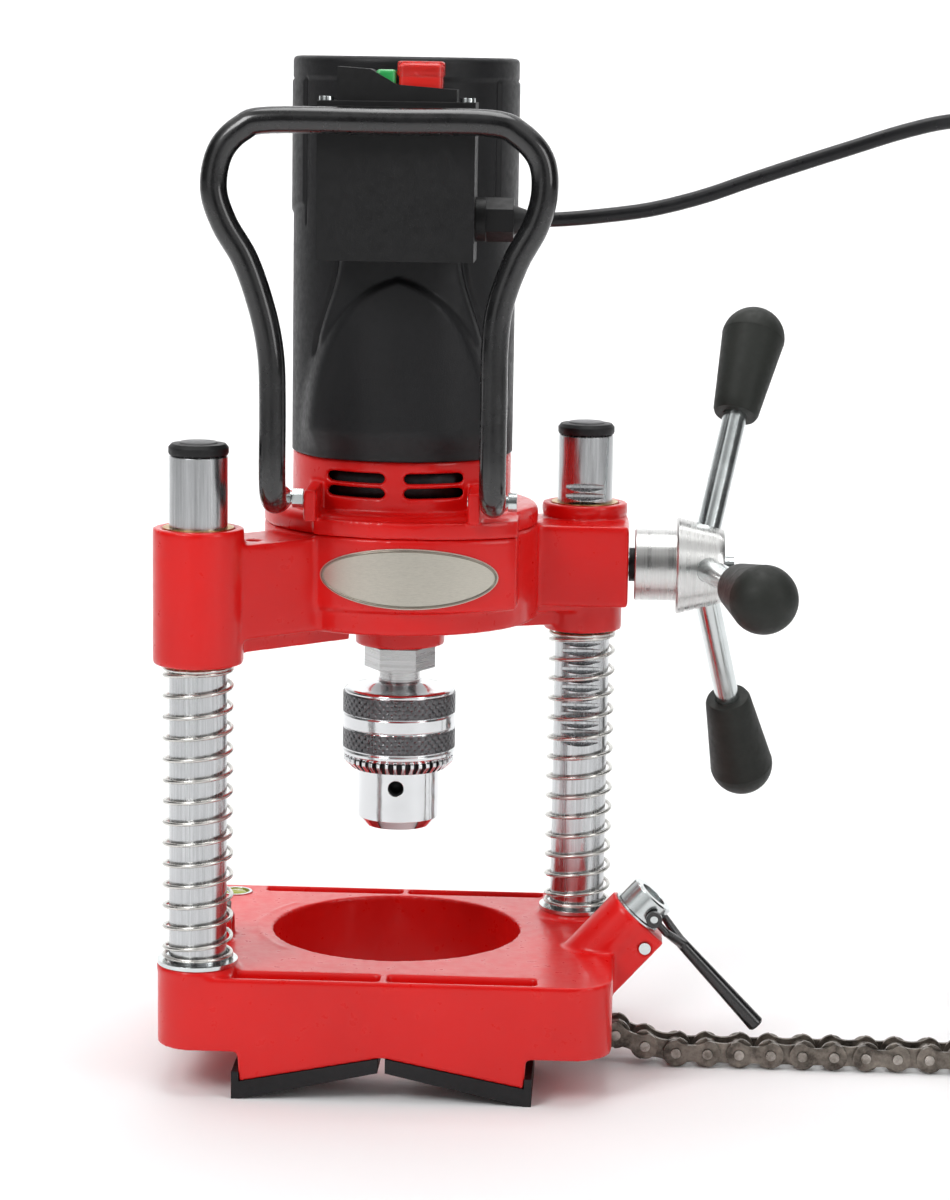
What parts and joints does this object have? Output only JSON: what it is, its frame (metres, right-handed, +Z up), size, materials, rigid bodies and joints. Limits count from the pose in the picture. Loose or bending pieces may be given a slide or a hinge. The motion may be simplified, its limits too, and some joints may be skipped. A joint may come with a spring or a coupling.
{
  "type": "chain clamp hole cutting machine",
  "caption": "Portable drill head with a key chuck on two sprung guide columns, over a red V base that a roller chain straps to a pipe for cutting holes",
  "frame": {"origin": "On the axis of the guide hole and spindle, level with the flat top face of the base", "axes": "+X to the operator's right, where the feed spokes and the chain tensioner are; +Y away from the operator; +Z up along the spindle"},
  "size_m": [0.5318, 0.266, 0.4998],
  "materials": {
    "red_paint": "glossy red enamel with a slight orange peel",
    "black_plastic": "matte grained black",
    "switch_plastic": "satin black moulding",
    "grip_plastic": "smooth matte olive black",
    "handle_paint": "glossy black enamel on tube",
    "pad_rubber": "matte black",
    "ground_steel": "ground, fine vertical lines",
    "zinc_steel": "bright zinc plate",
    "chrome_steel": "polished",
    "dark_steel": "oiled dark grey brown",
    "spring_steel": "bright drawn wire",
    "plate_metal": "brushed champagne",
    "hub_metal": "turned and brushed",
    "bronze": "sintered bronze",
    "copper_parts": "wound copper",
    "stop_red": "glossy red",
    "start_green": "glossy green",
    "cable_rubber": "satin black sheath",
    "plug_plastic": "satin black",
    "vial_fluid": "clear yellow green"
  },
  "bodies": {
    "base": {"base_casting": "red_paint", "vee_pads": "pad_rubber", "base_screws": "zinc_steel", "level_bezel": "zinc_steel", "level_vial": "vial_fluid", "left_column": "ground_steel", "right_column": "ground_steel", "column_caps": "black_plastic", "steel_washers": "zinc_steel", "left_spring": "spring_steel", "right_spring": "spring_steel", "cross_pins": "zinc_steel", "supply_cable": "cable_rubber", "cable_coil": "cable_rubber", "cable_plug": "plug_plastic"},
    "head": {"head_casting": "red_paint", "motor_bracket": "red_paint", "guide_bushes": "bronze", "gear_plate": "ground_steel", "name_plate": "plate_metal", "carry_handle": "handle_paint", "handle_screws": "zinc_steel", "bearings": "ground_steel", "feed_bushes": "bronze", "motor_housing": "black_plastic", "stator": "dark_steel", "brush_holders": "bronze", "switch_box": "switch_plastic", "switch_guard": "switch_plastic", "box_screws": "zinc_steel", "switch_block": "switch_plastic", "cable_gland": "switch_plastic"},
    "feed": {"feed_pinion": "ground_steel", "feed_spacer": "black_plastic", "feed_hub": "hub_metal", "feed_spokes": "zinc_steel", "feed_knobs": "grip_plastic", "hub_screw": "zinc_steel"},
    "spindle": {"spindle": "ground_steel", "chuck_body": "chrome_steel"},
    "chuck_sleeve": {"chuck_sleeve": "chrome_steel"},
    "jaw_1": {"jaw_1": "ground_steel"},
    "jaw_2": {"jaw_2": "ground_steel"},
    "jaw_3": {"jaw_3": "ground_steel"},
    "layshaft": {"layshaft": "ground_steel"},
    "armature": {"armature": "copper_parts", "cooling_fan": "black_plastic"},
    "stop_button": {"stop_button": "stop_red"},
    "start_button": {"start_button": "start_green"},
    "draw_screw": {"draw_screw": "ground_steel"},
    "tension_nut": {"tension_nut": "zinc_steel", "lever_pin": "zinc_steel"},
    "tension_lever": {"tension_lever": "handle_paint"},
    "chain_hook": {"chain_hook": "dark_steel"},
    "chain_a": {"chain_plates_a": "dark_steel", "chain_pins_a": "dark_steel"},
    "chain_b": {"chain_plates_b": "dark_steel", "chain_pins_b": "dark_steel"},
    "chain_c": {"chain_plates_c": "dark_steel", "chain_pins_c": "dark_steel"}
  },
  "joints": [
    {"name": "head_slide", "type": "slide", "parent": "base", "child": "head", "axis": [0, 0, 1], "range_m": [-0.083, 0], "stiffness_N_per_m": 1400, "springref_m": 0.1, "deforming": ["left_spring", "right_spring"]},
    {"name": "feed_turn", "type": "hinge", "parent": "head", "child": "feed", "pos_m": [0.0915, 0.0177, 0.188], "axis": [1, 0, 0], "range_deg": [0, 530]},
    {"name": "spindle_turn", "type": "hinge", "parent": "head", "child": "spindle", "pos_m": [0, 0, 0.1], "axis": [0, 0, 1], "continuous": true},
    {"name": "sleeve_turn", "type": "hinge", "parent": "spindle", "child": "chuck_sleeve", "pos_m": [0, 0, 0.1], "axis": [0, 0, 1], "range_deg": [0, 1800]},
    {"name": "jaw_slide_1", "type": "slide", "parent": "spindle", "child": "jaw_1", "axis": [-0.2241, 0.1294, -0.9659], "range_m": [0, 0.0181]},
    {"name": "jaw_slide_2", "type": "slide", "parent": "spindle", "child": "jaw_2", "axis": [0, -0.2588, -0.9659], "range_m": [0, 0.0181]},
    {"name": "jaw_slide_3", "type": "slide", "parent": "spindle", "child": "jaw_3", "axis": [0.2241, 0.1294, -0.9659], "range_m": [0, 0.0181]},
    {"name": "layshaft_turn", "type": "hinge", "parent": "head", "child": "layshaft", "pos_m": [0.02338, -0.0135, 0.18], "axis": [0, 0, 1], "continuous": true},
    {"name": "armature_turn", "type": "hinge", "parent": "head", "child": "armature", "pos_m": [0, 0, 0.3], "axis": [0, 0, 1], "continuous": true},
    {"name": "stop_press", "type": "slide", "parent": "head", "child": "stop_button", "axis": [0, 0, -1], "range_m": [0, 0.003], "stiffness_N_per_m": 600, "springref_m": -0.002},
    {"name": "start_press", "type": "slide", "parent": "head", "child": "start_button", "axis": [0, 0, -1], "range_m": [0, 0.003], "stiffness_N_per_m": 600, "springref_m": -0.002},
    {"name": "nut_turn", "type": "hinge", "parent": "base", "child": "tension_nut", "pos_m": [0.122, -0.026, 0.0179], "axis": [0.6691, 0, 0.7431], "range_deg": [-200, 90]},
    {"name": "screw_draw", "type": "slide", "parent": "base", "child": "draw_screw", "axis": [0.6691, 0, 0.7431], "range_m": [-0.0008, 0.0017]},
    {"name": "lever_fold", "type": "hinge", "parent": "tension_nut", "child": "tension_lever", "pos_m": [0.13098, -0.026, 0.01816], "axis": [0, -1, 0], "range_deg": [0, 110]},
    {"name": "hook_swing", "type": "hinge", "parent": "base", "child": "chain_hook", "pos_m": [-0.087, -0.026, 0.008], "axis": [0, 1, 0], "range_deg": [-28, 0]},
    {"name": "chain_lift", "type": "hinge", "parent": "draw_screw", "child": "chain_a", "pos_m": [0.0815, -0.026, -0.04135], "axis": [0, 1, 0], "range_deg": [0, 80]},
    {"name": "chain_bend", "type": "hinge", "parent": "chain_a", "child": "chain_b", "pos_m": [0.12805, -0.026, -0.04899], "axis": [0, 1, 0], "range_deg": [0, 60]},
    {"name": "chain_roll", "type": "hinge", "parent": "chain_b", "child": "chain_c", "pos_m": [0.19124, -0.026, -0.0521], "axis": [0, 1, 0], "range_deg": [-40, 60]}
  ],
  "couplings": [
    {"joint": "feed_turn", "follows": "head_slide", "rad_per_m": -111.11},
    {"joint": "layshaft_turn", "follows": "spindle_turn", "ratio": -2.6},
    {"joint": "armature_turn", "follows": "spindle_turn", "ratio": 9.1},
    {"joint": "screw_draw", "follows": "nut_turn", "m_per_rad": -0.00047746},
    {"joint": "jaw_slide_1", "follows": "sleeve_turn", "m_per_rad": 0.00057296},
    {"joint": "jaw_slide_2", "follows": "sleeve_turn", "m_per_rad": 0.00057296},
    {"joint": "jaw_slide_3", "follows": "sleeve_turn", "m_per_rad": 0.00057296}
  ]
}
